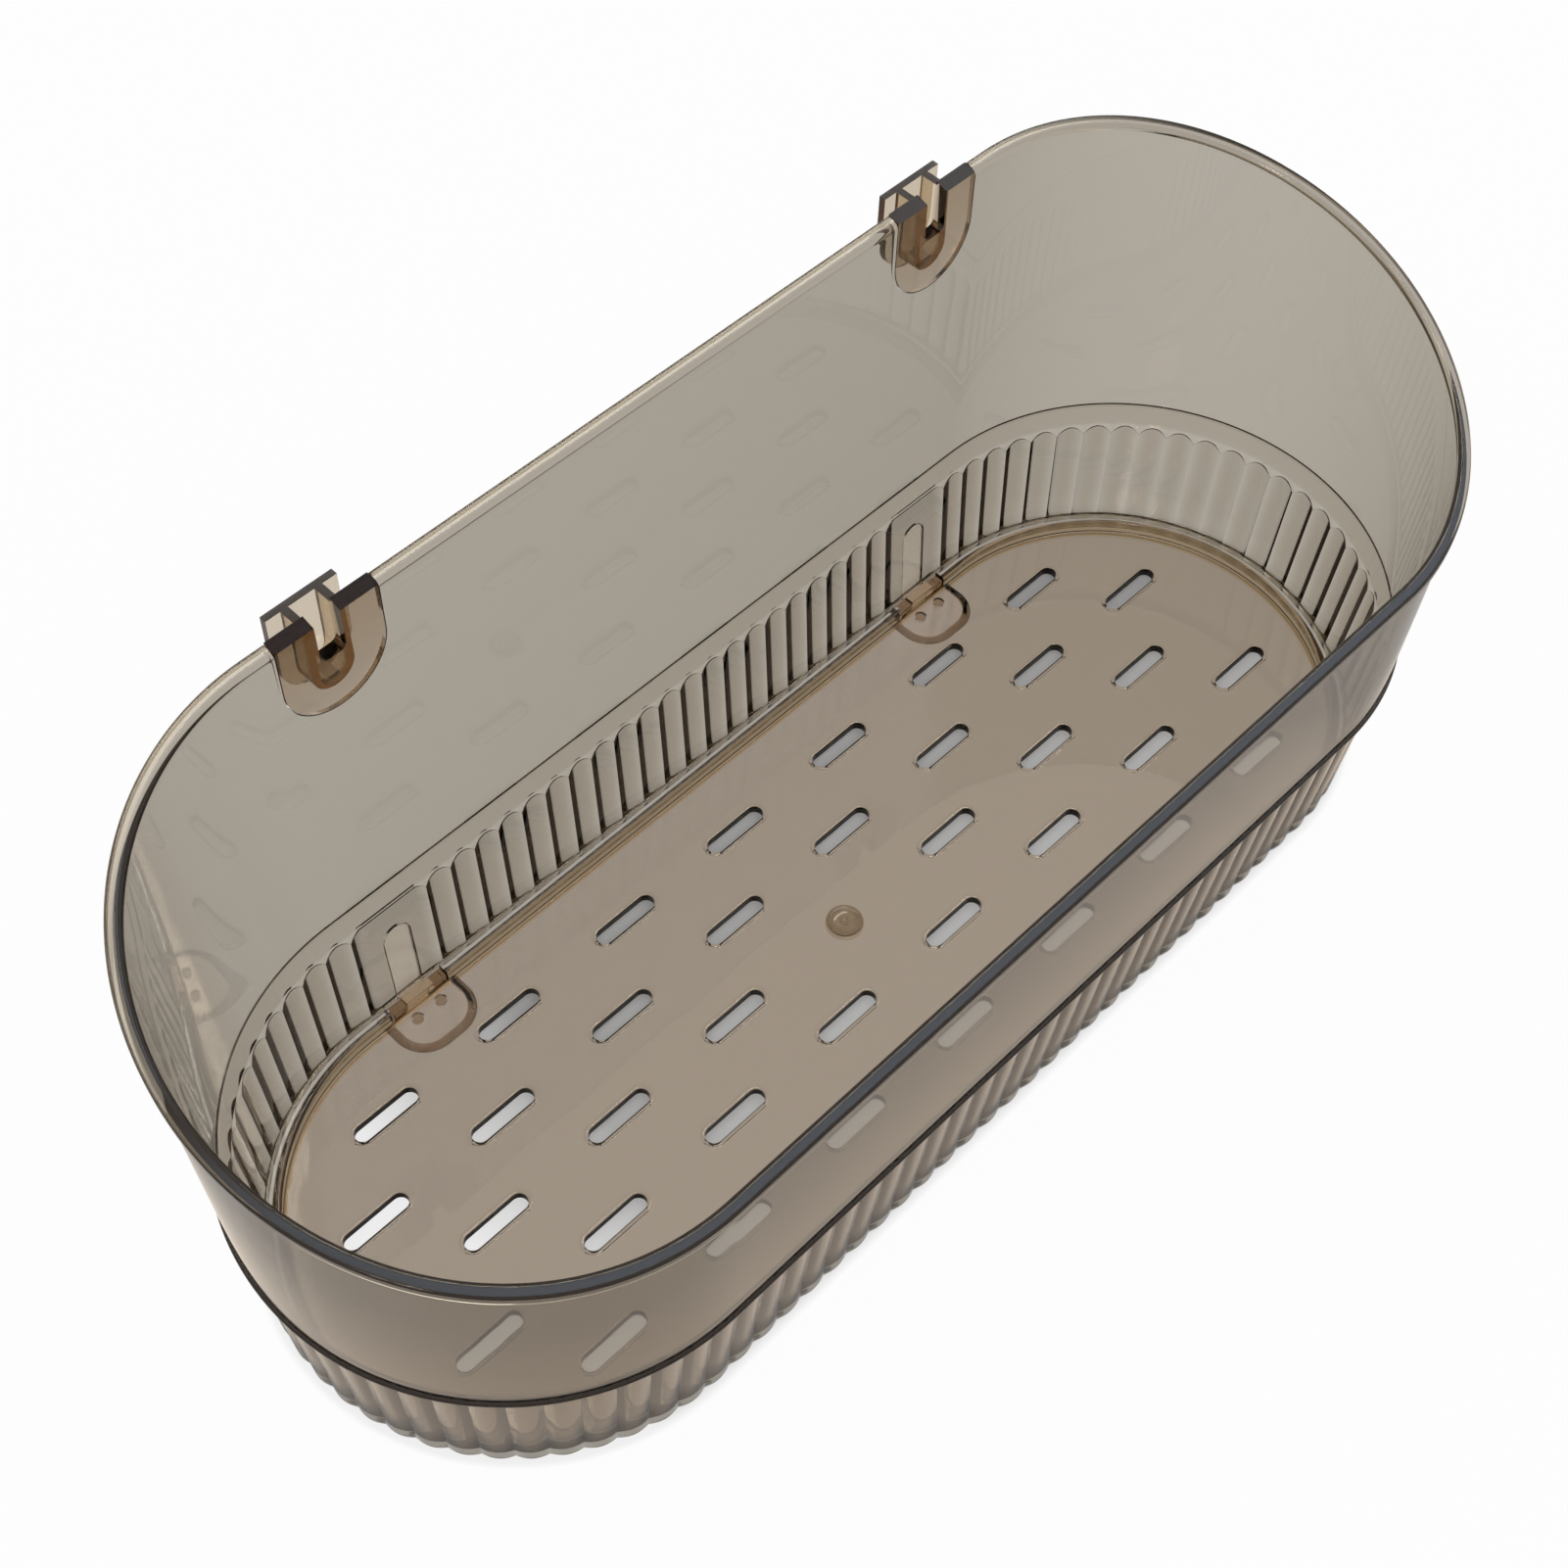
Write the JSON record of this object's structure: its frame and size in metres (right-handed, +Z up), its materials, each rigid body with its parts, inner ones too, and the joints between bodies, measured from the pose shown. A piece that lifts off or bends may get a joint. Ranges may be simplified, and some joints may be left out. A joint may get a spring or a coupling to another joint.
{
  "type": "wall-hung storage basket",
  "caption": "Clear smoke-brown oblong bath caddy with a sloping rim, fluted base, slotted drain floor and rail clips at the back for suction cup brackets.",
  "frame": {"origin": "middle of the flat underside of the floor, on the surface the basket stands on", "axes": "+X along the basket, +Y to the wall it hangs on, +Z up"},
  "size_m": [0.2974, 0.1209, 0.1179],
  "materials": {
    "basket_plastic": "clear smoke-brown, glossy",
    "fitting_plastic": "clear smoke-brown, glossy, darker where thick"
  },
  "bodies": {
    "root": {"basket": "basket_plastic", "left_hanger": "fitting_plastic", "right_hanger": "fitting_plastic", "left_lower_clip": "fitting_plastic", "right_lower_clip": "fitting_plastic"}
  },
  "joints": []
}
